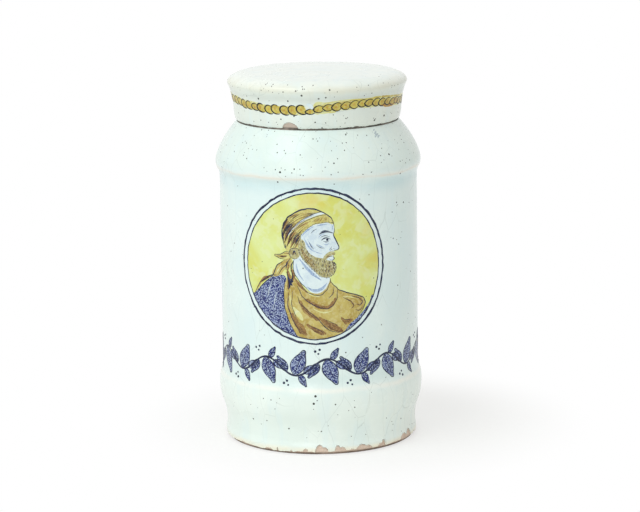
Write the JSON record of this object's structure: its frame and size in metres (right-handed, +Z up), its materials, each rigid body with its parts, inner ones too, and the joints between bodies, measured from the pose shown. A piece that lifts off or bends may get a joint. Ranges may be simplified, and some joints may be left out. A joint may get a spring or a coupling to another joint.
{
  "type": "covered pharmacy jar",
  "caption": "Straight-sided earthenware pharmacy jar with a banded foot, rounded shoulder and short neck, tin-glazed white, with a flat-topped cap lid that lifts off.",
  "frame": {"origin": "middle of the base, on the axis of the jar, at the level of the table", "axes": "+Z up along the axis of the jar; the painted front faces -Y"},
  "size_m": [0.1196, 0.1196, 0.216],
  "materials": {
    "clay": "bare fired earthenware",
    "glaze": "glossy white tin glaze"
  },
  "bodies": {
    "jar": {"jar_clay": "clay", "jar_glaze": "glaze"},
    "lid": {"lid_clay": "clay", "lid_glaze": "glaze"}
  },
  "joints": [
    {"name": "lid_lift", "type": "slide", "parent": "jar", "child": "lid", "axis": [0, 0, 1], "range_m": [0, 0.07]}
  ]
}
